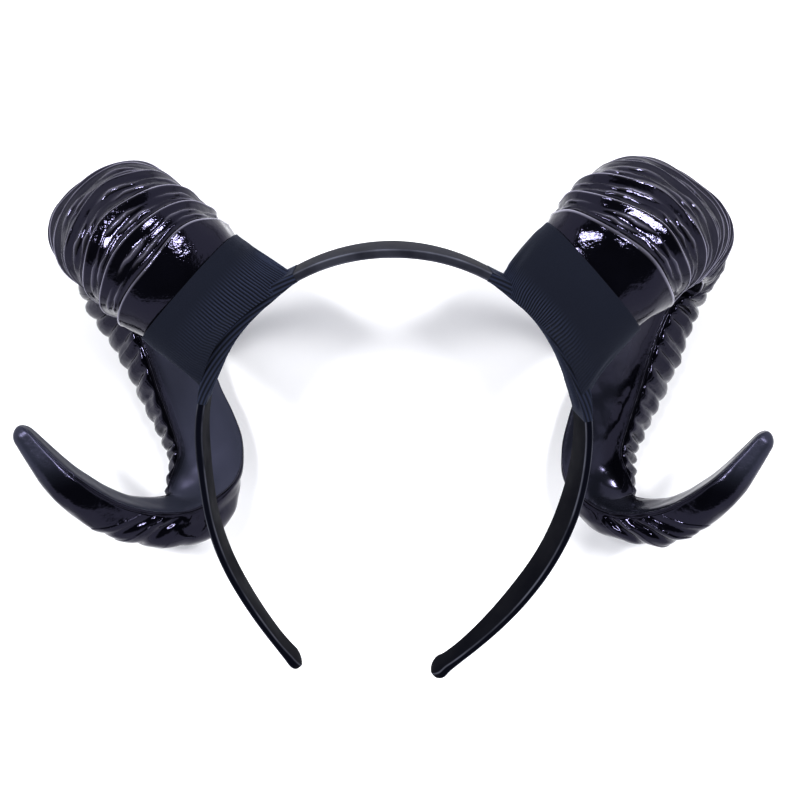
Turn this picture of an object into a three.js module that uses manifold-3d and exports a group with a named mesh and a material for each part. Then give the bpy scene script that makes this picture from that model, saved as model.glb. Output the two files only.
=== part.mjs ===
// A costume headband with two curled goat horns, lying on the backs of its horns.
// Millimetres, +Z up, the floor at z = 0. The headband's crown points to +Y and its
// front looks up. A plastic hoop carries the horns, and a fabric wrap holds each root.

import * as THREE from 'three';
import Module from 'manifold-3d';

const wasm = await Module();
wasm.setup();

// Clearances and cloth.
const GAP = 0.3;
const CLOTH = 1.1;

// The hoop: its section, and how far its plane is tipped up from the floor.
const BAND = {
  width: 16,
  endWidth: 12,
  thickness: 2.9,
  endThickness: 2.4,
  edge: 0.8,
  tip: 18,
  crown: 49.2,
  middle: { x: -2.4, y: 0, z: 74 },
  step: 5.5,
  seat: 8,
  padLength: 14,
  padExtra: 0.9,
  roundLength: 5,
  bluntness: 0.12,
  edgeShare: 0.6,
};

// Where the rounding of a leg's end and of a horn's tip has its sections, as shares of its length.
const END_SHARES = [0.5, 0.8, 1];
const TIP_SHARES = [0, 0.5, 0.85, 1];

// Each leg of the hoop is a run of arcs from the crown down to its end.
// turn is in degrees; twist is the section's roll at the end of the arc.
const LEFT_LEG = [
  { radius: 62.5, turn: 90, twist: 0 },
  { radius: 240, turn: 5, twist: 2 },
  { radius: 90, turn: 19, twist: 5 },
  { radius: 170, turn: 14, twist: 8 },
];
const RIGHT_LEG = [
  { radius: 62.5, turn: 90, twist: 0 },
  { radius: 95, turn: 15, twist: -7 },
  { radius: 95, turn: 18, twist: -6 },
  { radius: 150, turn: 19, twist: -3 },
];

// The right horn's centreline, from inside the hoop to the tip. width runs from ridge to
// ridge, depth from the flat face to the ringed back, and face is where the flat face looks.
const HORN_ROWS = [
  { x: 43.5, y: 20.8, z: 81, width: 36, depth: 17, faceX: 0.0, faceY: 0.31, faceZ: -0.95 },
  { x: 63.5, y: 38.0, z: 88, width: 42, depth: 30, faceX: -0.2, faceY: -0.1, faceZ: -0.97 },
  { x: 79.5, y: 51.5, z: 84, width: 42, depth: 33, faceX: -0.4, faceY: -0.4, faceZ: -0.82 },
  { x: 92.5, y: 58.5, z: 63, width: 38, depth: 30, faceX: -0.55, faceY: -0.75, faceZ: -0.15 },
  { x: 100.5, y: 56.0, z: 30, width: 35, depth: 28, faceX: -0.4, faceY: -0.65, faceZ: 0.6 },
  { x: 98.0, y: 41.0, z: 16.4, width: 34, depth: 27, faceX: -0.1, faceY: -0.1, faceZ: 0.98 },
  { x: 86.0, y: 12.0, z: 15.5, width: 32.6, depth: 25.8, faceX: 0.0, faceY: 0.0, faceZ: 1.0 },
  { x: 72.5, y: -20.0, z: 13.5, width: 28.5, depth: 22.4, faceX: 0.1, faceY: 0.1, faceZ: 0.98 },
  { x: 77.0, y: -42.0, z: 25, width: 22, depth: 17, faceX: 0.2, faceY: 0.8, faceZ: 0.6 },
  { x: 95.0, y: -43.0, z: 39, width: 15.5, depth: 13.5, faceX: 0.0, faceY: 0.9, faceZ: 0.5 },
  { x: 112.5, y: -31.0, z: 50, width: 12.2, depth: 10.8, faceX: -0.3, faceY: 0.8, faceZ: 0.5 },
  { x: 128.5, y: -10.0, z: 58, width: 6, depth: 6, faceX: -0.6, faceY: 0.6, faceZ: 0.5 },
];

// The horn's section, its rings and its tip. The rings fade out on the flat face between
// ringsFrom and ringsFull, which run from -1 in the middle of that face to 1 on the back.
const HORN = {
  sides: 18,
  innerShare: 0.4,
  squareness: 0.5,
  firstRing: 35,
  firstPitch: 11,
  lastPitch: 5.2,
  smoothTip: 46,
  relief: 0.05,
  rootStep: 6,
  tipStep: 6,
  tipRound: 4,
  tipBluntness: 0.02,
  ringsFrom: -0.7,
  ringsFull: -0.3,
  samples: 600,
};

// One ring's outline: the share of its pitch, and the share of its full height.
const RING_PROFILE = [
  { along: 0.0, height: 0.0 },
  { along: 0.22, height: 0.85 },
  { along: 0.7, height: 1.0 },
];

// The cloth wrap: its edge on the horn, and its reach along the hoop, measured from the crown.
const WRAP = {
  from: 4.5,
  edge: 24.5,
  bandFrom: 29,
  bandTo: 86,
  flare: 8,
  flareFade: 21,
  step: 3,
};

// What is cut away under a horn's root: a stretch of the hoop's inside, from the crown down.
const UNDER_ROOT = { from: 5, to: 120, inward: 40, across: 45 };

// The two horns, glued on a little unevenly: shift moves one outwards, and lean slants it
// sideways, in degrees, about the height where it stays in place.
const LEAN_HEIGHT = 65;
const PLACES = [
  { label: 'left', leg: LEFT_LEG, side: -1, shift: 0, lean: 4 },
  { label: 'right', leg: RIGHT_LEG, side: 1, shift: -1, lean: 1.5 },
];

const BLACK_PLASTIC = { color: 0x17181d, roughness: 0.42, metalness: 0 };
const GLOSS_BLACK = { color: 0x0b0b12, roughness: 0.16, metalness: 0 };
const NAVY_CLOTH = { color: 0x191c2a, roughness: 0.9, metalness: 0 };

// Where the whole is set down, so that the floor is z = 0 and the box is centred on Z.
const SET_DOWN = { x: 2.51, y: 10.11, z: 1.49 };

// General helpers

// A smooth curve through a column of a table, at row position u.
function column(rows, name, u) {
  const last = rows.length - 1;
  const index = Math.min(Math.floor(u), last - 1);
  const value = (i) => {
    if (i < 0) return 2 * rows[0][name] - rows[1][name];
    if (i > last) return 2 * rows[last][name] - rows[last - 1][name];
    return rows[i][name];
  };
  const [a, b, c, d] = [value(index - 1), value(index), value(index + 1), value(index + 2)];
  const t = u - index;
  const bend = 2 * a - 5 * b + 4 * c - d;
  const twist = 3 * b - a - 3 * c + d;
  return 0.5 * (2 * b + (c - a) * t + bend * t * t + twist * t * t * t);
}

// A closed skin over rings of points, with a fan over each end.
function skin(rings) {
  const sides = rings[0].length;
  const points = rings.flat();
  const ends = [rings[0], rings[rings.length - 1]].map((ring) => {
    const middle = ring.reduce((sum, p) => sum.add(p), new THREE.Vector3());
    return middle.divideScalar(sides);
  });
  const first = points.length;
  points.push(...ends);
  const index = [];
  for (let i = 0; i < rings.length - 1; i += 1) {
    for (let j = 0; j < sides; j += 1) {
      const a = i * sides + j;
      const b = i * sides + ((j + 1) % sides);
      index.push(a, b, b + sides, a, b + sides, a + sides);
    }
  }
  const base = (rings.length - 1) * sides;
  for (let j = 0; j < sides; j += 1) {
    const next = (j + 1) % sides;
    index.push(first, next, j, first + 1, base + j, base + next);
  }
  return outward(points, index);
}

// A geometry whose faces point out: a skin of negative volume is turned round.
function outward(points, index) {
  const corner = (i) => points[index[i]];
  let volume = 0;
  for (let i = 0; i < index.length; i += 3) {
    volume += corner(i).dot(new THREE.Vector3().crossVectors(corner(i + 1), corner(i + 2)));
  }
  if (volume < 0) index.reverse();
  const geometry = new THREE.BufferGeometry();
  geometry.setFromPoints(points);
  geometry.setIndex(index);
  return geometry;
}

function toSolid(geometry) {
  const mesh = new wasm.Mesh({
    numProp: 3,
    vertProperties: new Float32Array(geometry.getAttribute('position').array),
    triVerts: new Uint32Array(geometry.getIndex().array),
  });
  return new wasm.Manifold(mesh);
}

function toGeometry(solid) {
  const mesh = solid.getMesh();
  const geometry = new THREE.BufferGeometry();
  geometry.setAttribute('position', new THREE.Float32BufferAttribute(mesh.vertProperties, 3));
  geometry.setIndex(Array.from(mesh.triVerts));
  return geometry;
}

// The hoop

// A point of a leg's middle line at length s from the crown, with its heading in radians.
function legPlace(leg, s) {
  let [x, v, heading, left, twist] = [0, BAND.crown, 0, s, 0];
  for (const arc of leg) {
    const turn = THREE.MathUtils.degToRad(arc.turn);
    const length = arc.radius * turn;
    const isLast = arc === leg[leg.length - 1];
    const share = isLast ? left / length : Math.min(left / length, 1);
    const next = heading + turn * share;
    x += arc.radius * (Math.sin(next) - Math.sin(heading));
    v -= arc.radius * (Math.cos(heading) - Math.cos(next));
    twist = THREE.MathUtils.lerp(twist, arc.twist, share);
    heading = next;
    left -= length * share;
    if (left <= 0) break;
  }
  return { x, v, heading, twist };
}

function legLength(leg) {
  return leg.reduce((sum, arc) => sum + arc.radius * THREE.MathUtils.degToRad(arc.turn), 0);
}

// From the hoop's own plane (x, v up the plane, n out of its front) to the floor's frame.
function fromBandPlane(x, v, n) {
  const tip = THREE.MathUtils.degToRad(BAND.tip);
  const { middle } = BAND;
  return new THREE.Vector3(
    middle.x + x,
    middle.y + v * Math.cos(tip) - n * Math.sin(tip),
    middle.z + v * Math.sin(tip) + n * Math.cos(tip),
  );
}

// The hoop's section at length s: a rectangle with its edges eased, as offsets (out, across).
function bandSection(leg, s, grow) {
  const length = legLength(leg);
  const share = s / length;
  const toEnd = length - s;
  const pad = BAND.padExtra * THREE.MathUtils.smoothstep(BAND.padLength - toEnd, 0, BAND.padLength);
  const close = Math.min(1, Math.max(0, 1 - toEnd / BAND.roundLength));
  const round = Math.sqrt(Math.max(BAND.bluntness, 1 - close * close));
  const half = round * THREE.MathUtils.lerp(BAND.width, BAND.endWidth, share) / 2 + grow;
  const flat = THREE.MathUtils.lerp(BAND.thickness, BAND.endThickness, share) + pad;
  const deep = Math.sqrt(round) * flat / 2 + grow;
  const edge = Math.min(BAND.edge, deep * BAND.edgeShare);
  return [
    [deep, edge - half], [deep, half - edge], [deep - edge, half], [edge - deep, half],
    [-deep, half - edge], [-deep, edge - half], [edge - deep, -half], [deep - edge, -half],
  ];
}

// A ring of points round the hoop: side is 1 on the right, -1 on the left.
function bandRing(leg, side, s, section) {
  const place = legPlace(leg, s);
  const twist = THREE.MathUtils.degToRad(place.twist);
  const outX = Math.sin(place.heading);
  const outV = Math.cos(place.heading);
  return section.map(([out, across]) => {
    const far = out * Math.cos(twist) - across * Math.sin(twist);
    const front = out * Math.sin(twist) + across * Math.cos(twist);
    return fromBandPlane(side * (place.x + far * outX), place.v + far * outV, front);
  });
}

// The lengths at which a leg has a section, closer together where its end rounds off.
function legSteps(leg) {
  const length = legLength(leg);
  const straight = length - BAND.roundLength - BAND.seat / 2;
  const count = Math.round(straight / BAND.step);
  const steps = [];
  for (let i = 0; i <= count; i += 1) {
    steps.push(BAND.seat / 2 + (straight * i) / count);
  }
  for (const share of END_SHARES) {
    steps.push(length - BAND.roundLength * (1 - share));
  }
  return steps;
}

function bandGeometry() {
  const legRings = (leg, side) => legSteps(leg).map((s) => bandRing(leg, side, s, bandSection(leg, s, 0)));
  return skin([...legRings(LEFT_LEG, -1).reverse(), ...legRings(RIGHT_LEG, 1)]);
}

// A stretch of the hoop made larger all round, to clear or to sleeve it.
function bandStretch(leg, side, from, to, section) {
  const count = Math.ceil((to - from) / BAND.step);
  const rings = [];
  for (let i = 0; i <= count; i += 1) {
    const s = from + ((to - from) * i) / count;
    rings.push(bandRing(leg, side, s, section(s)));
  }
  return toSolid(skin(rings));
}

// The horns

// Lengths along the centreline, so that a length can be turned into a row position.
const hornLengths = [0];
for (let i = 1; i <= HORN.samples; i += 1) {
  const scale = (HORN_ROWS.length - 1) / HORN.samples;
  const step = hornCentre(i * scale).distanceTo(hornCentre((i - 1) * scale));
  hornLengths.push(hornLengths[i - 1] + step);
}
const HORN_LENGTH = hornLengths[HORN.samples];

function hornCentre(u) {
  const [x, y, z] = ['x', 'y', 'z'].map((name) => column(HORN_ROWS, name, u));
  return new THREE.Vector3(x, y, z);
}

function hornRow(s) {
  const index = Math.max(1, hornLengths.findIndex((length) => length >= s));
  const from = hornLengths[index - 1];
  const share = (s - from) / (hornLengths[index] - from);
  return ((index - 1 + share) * (HORN_ROWS.length - 1)) / HORN.samples;
}

// The section's axes at length s: along the horn, to the flat face, and to the outer ridge.
function hornAxes(s) {
  const u = hornRow(s);
  const nudge = 0.02;
  const last = HORN_ROWS.length - 1;
  const ahead = hornCentre(Math.min(u + nudge, last));
  const along = ahead.sub(hornCentre(Math.max(u - nudge, 0))).normalize();
  const [x, y, z] = ['faceX', 'faceY', 'faceZ'].map((name) => column(HORN_ROWS, name, u));
  const face = new THREE.Vector3(x, y, z);
  face.addScaledVector(along, -face.dot(along)).normalize();
  const ridge = new THREE.Vector3().crossVectors(face, along);
  return { u, along, face, ridge };
}

// The section is an oval on its ringed back and squarer towards its flat face.
// lift raises the ringed part only, grow is added all round, spread widens it along the hoop,
// and sag bends its sides down to follow the hoop's curve.
function hornRing(s, lift, grow, spread, sag) {
  const { u, along, face, ridge } = hornAxes(s);
  const toTip = Math.max(0, HORN_LENGTH - s);
  const close = Math.min(1, Math.max(0, 1 - toTip / HORN.tipRound));
  const round = Math.sqrt(Math.max(HORN.tipBluntness, 1 - close * close));
  const half = (round * column(HORN_ROWS, 'width', u)) / 2;
  const depth = round * column(HORN_ROWS, 'depth', u);
  const centre = hornCentre(u);
  const points = [];
  for (let j = 0; j < HORN.sides; j += 1) {
    const angle = (2 * Math.PI * j) / HORN.sides;
    const [c, d] = [Math.cos(angle), Math.sin(angle)];
    const power = c > 0 ? HORN.squareness : 1;
    const share = c > 0 ? HORN.innerShare : 1 - HORN.innerShare;
    const ringed = THREE.MathUtils.smoothstep(-c, HORN.ringsFrom, HORN.ringsFull);
    const raise = 1 + lift * HORN.relief * ringed;
    const toFace = Math.sign(c) * Math.abs(c) ** power;
    const toRidge = Math.sign(d) * Math.abs(d) ** power;
    const point = centre.clone();
    point.addScaledVector(face, toFace * (raise * share * depth + grow));
    const side = toRidge * (raise * half + grow + spread);
    point.addScaledVector(ridge, side);
    point.addScaledVector(along, -sag * side * side);
    points.push(point);
  }
  return points;
}

// The lengths at which a horn has a section, with how far its ring stands up there.
function hornSteps() {
  const steps = [];
  for (let s = 0; s < HORN.firstRing; s += HORN.rootStep) {
    steps.push({ s, lift: 0 });
  }
  const ringEnd = HORN_LENGTH - HORN.smoothTip;
  let start = HORN.firstRing;
  while (start < ringEnd) {
    const share = (start - HORN.firstRing) / (ringEnd - HORN.firstRing);
    const pitch = THREE.MathUtils.lerp(HORN.firstPitch, HORN.lastPitch, share);
    const fade = 1 - share * share * share;
    for (const { along, height } of RING_PROFILE) {
      steps.push({ s: start + along * pitch, lift: height * fade });
    }
    start += pitch;
  }
  const smooth = HORN_LENGTH - HORN.tipRound - start;
  const count = Math.ceil(smooth / HORN.tipStep);
  for (let i = 0; i < count; i += 1) {
    steps.push({ s: start + (smooth * i) / count, lift: 0 });
  }
  for (const share of TIP_SHARES) {
    steps.push({ s: HORN_LENGTH - HORN.tipRound * (1 - share), lift: 0 });
  }
  return steps;
}

// A point of the right horn, carried to its side, shifted out and leant sideways.
function onSide(point, { side, shift, lean }) {
  const sideways = (LEAN_HEIGHT - point.z) * Math.tan(THREE.MathUtils.degToRad(lean));
  const out = point.x - BAND.middle.x + shift;
  return new THREE.Vector3(BAND.middle.x + side * out + sideways, point.y, point.z);
}

function hornStretch(place, steps, grow, flare) {
  const rings = steps.map(({ s, lift }) => {
    const near = Math.max(0, 1 - s / WRAP.flareFade);
    const sag = (flare > 0 ? near : 0) / (2 * LEFT_LEG[0].radius);
    return hornRing(s, lift, grow, flare * near * near, sag).map((p) => onSide(p, place));
  });
  return toSolid(skin(rings));
}

// All that lies inside the hoop's outer face, from edge to edge of the horn and beyond.
function insideOfBand({ leg, side }, rise) {
  const { from, to, inward, across } = UNDER_ROOT;
  const section = (s) => {
    const top = bandSection(leg, s, rise)[0][0];
    return [[top, -across], [top, across], [-inward, across], [-inward, -across]];
  };
  return bandStretch(leg, side, from, to, section);
}

function hornGeometry(place) {
  const horn = hornStretch(place, hornSteps(), 0, 0);
  return toGeometry(horn.subtract(insideOfBand(place, GAP)));
}

// The wraps

// Even steps along the root, from one length on the horn to another.
function rootSteps(from, to) {
  const count = Math.ceil((to - from) / WRAP.step);
  const step = (to - from) / count;
  return Array.from({ length: count + 1 }, (_, i) => ({ s: from + step * i, lift: 0 }));
}

function wrapGeometry(place) {
  const { leg, side } = place;
  const cover = GAP + CLOTH;
  const { from, edge, bandFrom, bandTo, step, flare } = WRAP;
  const around = (grow) => (s) => bandSection(leg, s, grow);
  const sleeve = bandStretch(leg, side, bandFrom, bandTo, around(cover));
  const trumpet = hornStretch(place, rootSteps(from, edge), cover, flare);
  const root = hornStretch(place, rootSteps(0, edge + step), GAP, 0);
  const hoop = bandStretch(leg, side, bandFrom - step, bandTo + step, around(GAP));
  const inside = root.subtract(insideOfBand(place, GAP / 2)).add(hoop);
  return toGeometry(sleeve.add(trumpet).subtract(inside));
}

// The assembly

function piece(name, geometry, finish) {
  const mesh = new THREE.Mesh(geometry, new THREE.MeshStandardMaterial(finish));
  mesh.name = name;
  return mesh;
}

const headband = new THREE.Group();
headband.add(piece('band', bandGeometry(), BLACK_PLASTIC));
for (const place of PLACES) {
  headband.add(piece(`horn_${place.label}`, hornGeometry(place), GLOSS_BLACK));
  headband.add(piece(`wrap_${place.label}`, wrapGeometry(place), NAVY_CLOTH));
}
headband.position.set(SET_DOWN.x, SET_DOWN.y, SET_DOWN.z);

export default headband;
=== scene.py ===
"""Looks of a costume headband with two curled goat horns, lying on the backs of its horns.

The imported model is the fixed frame. The hoop, the horns and the cloth wraps are rebuilt here as fine
surfaces in the same place, from the same driving sizes in millimetres, and dressed as satin ABS,
black lacquer over a moulded body, and ribbed jersey.
"""

import logging
import math
from dataclasses import dataclass, field
from enum import Enum
from typing import Any, NamedTuple

import bpy
import numpy as np
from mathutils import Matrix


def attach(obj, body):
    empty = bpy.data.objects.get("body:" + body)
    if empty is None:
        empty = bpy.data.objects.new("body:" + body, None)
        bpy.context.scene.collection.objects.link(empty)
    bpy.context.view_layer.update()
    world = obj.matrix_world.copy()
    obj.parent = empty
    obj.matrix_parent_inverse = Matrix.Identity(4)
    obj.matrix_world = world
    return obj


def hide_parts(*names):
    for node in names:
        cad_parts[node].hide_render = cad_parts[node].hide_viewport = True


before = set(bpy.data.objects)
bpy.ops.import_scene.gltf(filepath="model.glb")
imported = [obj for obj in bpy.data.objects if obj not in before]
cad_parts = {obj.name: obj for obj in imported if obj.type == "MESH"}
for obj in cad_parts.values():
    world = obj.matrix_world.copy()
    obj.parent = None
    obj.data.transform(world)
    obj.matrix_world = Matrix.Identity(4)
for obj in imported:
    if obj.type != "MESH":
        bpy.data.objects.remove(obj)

LOG = logging.getLogger("headband")
MM = 0.001
# The set-down of the whole part, in millimetres: the floor is z = 0 and the box is centred on Z.
SET_DOWN = np.array([2.51, 10.11, 1.49])
# How many steps an outline is measured in, and the shortest step that is divided by, in millimetres.
FINE_STEPS = 6000
SHORTEST = 1e-9


class Side(Enum):
    """Which side of the picture a horn is on; the value is the sign of its X."""

    LEFT = -1
    RIGHT = 1


class Arc(NamedTuple):
    """One arc of a hoop leg: radius in mm, turn in degrees, and the roll at its end in degrees."""

    radius: float
    turn: float
    twist: float


class HornRow(NamedTuple):
    """One station of the right horn: centre, ridge-to-ridge width, depth, and where its flat face looks."""

    x: float
    y: float
    z: float
    width: float
    depth: float
    face_x: float
    face_y: float
    face_z: float


class RingKnot(NamedTuple):
    """One knot of a ring's profile: its place along the ring and its height, both as shares."""

    along: float
    height: float


class Stretch(NamedTuple):
    """A stretch over which something eases in or out: where it starts and where it ends."""

    start: float
    end: float

    def rise(self, value: np.ndarray | float) -> np.ndarray:
        """Eases from 0 at the start to 1 at the end."""
        return smooth(value, self.start, self.end)

    def fall(self, value: np.ndarray | float) -> np.ndarray:
        """Eases from 1 at the start to 0 at the end."""
        return 1 - smooth(value, self.start, self.end)


class Wave(NamedTuple):
    """One sine over a surface: its height, its turns round the section, and its radians along the piece."""

    height: float
    turns: float
    slope: float


LEGS = {
    Side.LEFT: (Arc(62.5, 90, 0), Arc(240, 5, 2), Arc(90, 19, 5), Arc(170, 14, 8)),
    Side.RIGHT: (Arc(62.5, 90, -8), Arc(95, 15, -10), Arc(95, 18, -7), Arc(150, 19, -3)),
}

# How much narrower each leg is just before the knob at its end, as a share.
WAISTS = {Side.LEFT: 0.12, Side.RIGHT: 0.28}

HORN_ROWS = (
    HornRow(43.2, 21.1, 81, 36, 17, 0.0, 0.31, -0.95),
    HornRow(62.8, 38.6, 88, 43.5, 29, -0.2, -0.1, -0.97),
    HornRow(78.6, 52.0, 84, 43.5, 30, -0.4, -0.4, -0.82),
    HornRow(91.2, 58.6, 63, 41, 26.5, -0.55, -0.75, -0.15),
    HornRow(101.5, 55.0, 30.6, 35, 27, -0.62, -0.6, 0.5),
    HornRow(99.3, 41.0, 17.1, 32, 27, -0.84, -0.12, 0.53),
    HornRow(87.3, 12.0, 16.2, 30.3, 25.8, -0.79, 0.0, 0.61),
    HornRow(74.8, -20.0, 14.2, 27.5, 22.4, -0.55, 0.1, 0.83),
    HornRow(76.8, -41.2, 25, 22, 17, 0.2, 0.8, 0.6),
    HornRow(94.2, -42.0, 39, 16.3, 15, 0.0, 0.95, 0.3),
    HornRow(111.3, -30.2, 50, 13.2, 12.6, -0.4, 0.85, 0.05),
    HornRow(127.0, -9.7, 58, 6, 6, -0.75, 0.62, -0.1),
)

# From a crest, down a step to a hollow floor, over two thin wrinkles, and up a ramp to the next crest.
RING_PROFILE = (
    RingKnot(0.0, 1.0),
    RingKnot(0.06, 0.55),
    RingKnot(0.16, 0.2),
    RingKnot(0.28, 0.08),
    RingKnot(0.36, 0.44),
    RingKnot(0.43, 0.14),
    RingKnot(0.56, 0.3),
    RingKnot(0.63, 0.62),
    RingKnot(0.7, 0.42),
    RingKnot(0.84, 0.74),
    RingKnot(0.96, 0.94),
    RingKnot(1.0, 1.0),
)
# The two wrinkles' places along a ring.
WRINKLES = (0.36, 0.63)

# The slow waves in the rings' bow, and the short ones in the wrinkles' run, in mm.
BOW_WAVES = (Wave(0.5, 3, 1 / 9), Wave(0.35, 5, -1 / 5))
WRINKLE_WAVES = (Wave(0.2, 13, 0.9), Wave(0.1, 29, -1.3))
# How the rings' height and the wrinkles come and go, as shares.
RING_WAVES = (Wave(0.2, 4, 1 / 4),)
PATCH_WAVES = (Wave(0.55, 7, 0.8),)
# The unevenness of the horns' coat, in mm.
COAT_WAVES = (Wave(0.16, 4, 1 / 2.7), Wave(0.12, -7, 1 / 1.9))
# The soft folds of the gathered cloth, as shares of their height.
FOLD_WAVES = (Wave(1.0, 11, 4), Wave(0.6, 19, -3))


def linear(colour: str) -> tuple[float, float, float, float]:
    """Turns an sRGB hex colour into linear light.

    Args:
        colour: six hex digits after a hash sign.

    Returns:
        Linear red, green, blue and an alpha of one.
    """
    parts = [int(colour[i : i + 2], 16) / 255 for i in (1, 3, 5)]
    light = [c / 12.92 if c <= 0.04045 else ((c + 0.055) / 1.055) ** 2.4 for c in parts]
    return (*light, 1.0)


def add_node(
    material: bpy.types.Material | bpy.types.World,
    kind: str,
    sockets: dict[str | int, Any] | None = None,
    **settings: Any,
) -> bpy.types.Node:
    """Adds one shader node, with its settings, values and links.

    Args:
        material: the material or world whose tree gets the node.
        kind: the node's type name.
        sockets: input names or numbers, each with a value or with the output to link to it.
        settings: the node's own properties.

    Returns:
        The new node.
    """
    node = material.node_tree.nodes.new(kind)
    for name, value in settings.items():
        setattr(node, name, value)
    for name, value in (sockets or {}).items():
        if isinstance(value, bpy.types.NodeSocket):
            material.node_tree.links.new(value, node.inputs[name])
        else:
            node.inputs[name].default_value = value
    return node


def smooth(value: np.ndarray | float, low: float, high: float) -> np.ndarray:
    """Eases from 0 at low to 1 at high, level at both ends: t squared times (3 - 2t)."""
    share = np.clip((value - low) / (high - low), 0, 1)
    return share * share * (3 - 2 * share)


def bell(value: np.ndarray, middle: float, width: float) -> np.ndarray:
    """Gives a bell: e to the power of minus the squared distance from its middle, in widths."""
    return np.exp(-(((value - middle) / width) ** 2))


def waves(parts: tuple[Wave, ...], angle: np.ndarray, along: np.ndarray) -> np.ndarray:
    """Adds up waves: each is its height times the sine of its turns times the angle plus its slope along."""
    return sum(part.height * np.sin(part.turns * angle + part.slope * along) for part in parts)


def spline(table: np.ndarray, place: np.ndarray) -> np.ndarray:
    """Runs a smooth curve through the rows of a table.

    Between rows b and c, with neighbours a and d, the value is the uniform Catmull-Rom cubic, and the
    table is continued straight on past its ends.

    Args:
        table: one row per station, one column per quantity.
        place: row positions, from 0 to the last row's number.

    Returns:
        The table's columns at each place.
    """
    padded = np.vstack([2 * table[0] - table[1], table, 2 * table[-1] - table[-2]])
    index = np.clip(np.floor(place).astype(int), 0, len(table) - 2)
    t = (place - index)[:, None]
    a, b, c, d = (padded[index + k] for k in range(4))
    bend = 2 * a - 5 * b + 4 * c - d
    curl = 3 * b - a - 3 * c + d
    return 0.5 * (2 * b + (c - a) * t + bend * t**2 + curl * t**3)


def unit(vectors: np.ndarray) -> np.ndarray:
    """Scales vectors in the last axis to length one."""
    return vectors / np.linalg.norm(vectors, axis=-1, keepdims=True)


@dataclass
class Skin:
    """A surface on a grid of points, closed round its columns, with its mesh arrays.

    Attributes:
        points: rows by columns by three, in millimetres.
        ring_shut: True where the last row joins the first, as in a tube that turns back into itself.
        marks: numbers kept on each point under a name, for materials to read.
    """

    points: np.ndarray
    ring_shut: bool = False
    marks: dict[str, np.ndarray] = field(default_factory=dict)

    def quads(self) -> np.ndarray:
        """Numbers the corners of every grid cell.

        Returns:
            Corner numbers, four to a row.
        """
        rows, columns = self.points.shape[:2]
        last = rows if self.ring_shut else rows - 1
        i, j = np.meshgrid(np.arange(last), np.arange(columns), indexing="ij")
        below, beside = (i + 1) % rows, (j + 1) % columns
        corners = (i * columns + j, i * columns + beside, below * columns + beside, below * columns + j)
        return np.stack(corners, axis=-1).reshape(-1, 4)

    def caps(self) -> tuple[np.ndarray, np.ndarray]:
        """Closes both open ends with a fan round the end row's middle.

        Returns:
            The two middle points, and the fans' triangles.
        """
        rows, columns = self.points.shape[:2]
        if self.ring_shut:
            return np.zeros((0, 3)), np.zeros((0, 3), int)
        middles = self.points[[0, -1]].mean(axis=1)
        j = np.arange(columns)
        beside = (j + 1) % columns
        first = rows * columns
        top = (rows - 1) * columns
        near = np.stack([np.full(columns, first), beside, j], axis=-1)
        far = np.stack([np.full(columns, first + 1), top + j, top + beside], axis=-1)
        return middles, np.vstack([near, far])

    def arrays(self) -> tuple[np.ndarray, np.ndarray, np.ndarray]:
        """Works out the closed surface with its faces outwards.

        The signed volume is a sixth of the sum of every triangle's triple product, and a surface with
        a negative one is turned round.

        Returns:
            Points, four-cornered faces and three-cornered faces.
        """
        middles, fans = self.caps()
        points = np.vstack([self.points.reshape(-1, 3), middles])
        quads = self.quads()
        triangles = np.vstack([quads[:, [0, 1, 2]], quads[:, [0, 2, 3]], fans])
        a, b, c = (points[triangles[:, k]] for k in range(3))
        if np.einsum("ij,ij->i", a, np.cross(b, c)).sum() < 0:
            quads, fans = quads[:, ::-1], fans[:, ::-1]
        return points, quads, fans


def make_piece(name: str, skins: list[Skin]) -> bpy.types.Object:
    """Puts closed surfaces into one smooth-shaded mesh object at the origin.

    Args:
        name: the piece's name.
        skins: its surfaces, in millimetres of the hoop's own layout.

    Returns:
        The new object, in metres, in the row frame.
    """
    points, faces, first = [], [], 0
    for skin in skins:
        own, quads, fans = skin.arrays()
        points.append(own)
        faces += (quads + first).tolist() + (fans + first).tolist()
        first += len(own)
    mesh = bpy.data.meshes.new(name)
    mesh.from_pydata(((np.vstack(points) + SET_DOWN) * MM).tolist(), [], faces)
    for mark in skins[0].marks:
        values = [np.append(skin.marks[mark], np.zeros(len(own) - skin.marks[mark].size))
                  for skin, own in zip(skins, points)]
        layer = mesh.attributes.new(mark, "FLOAT", "POINT")
        layer.data.foreach_set("value", np.concatenate(values).astype(np.float32))
    mesh.polygons.foreach_set("use_smooth", np.ones(len(mesh.polygons), bool))
    mesh.update()
    piece = bpy.data.objects.new(name, mesh)
    bpy.context.scene.collection.objects.link(piece)
    LOG.info("%s: %d points, %d faces", name, len(mesh.vertices), len(mesh.polygons))
    return piece


def blank_material(name: str) -> bpy.types.Material:
    """Starts a material with an empty node tree.

    Args:
        name: the material's name.

    Returns:
        The material.
    """
    made = bpy.data.materials.new(name)
    made.use_nodes = True
    made.node_tree.nodes.clear()
    return made


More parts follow.
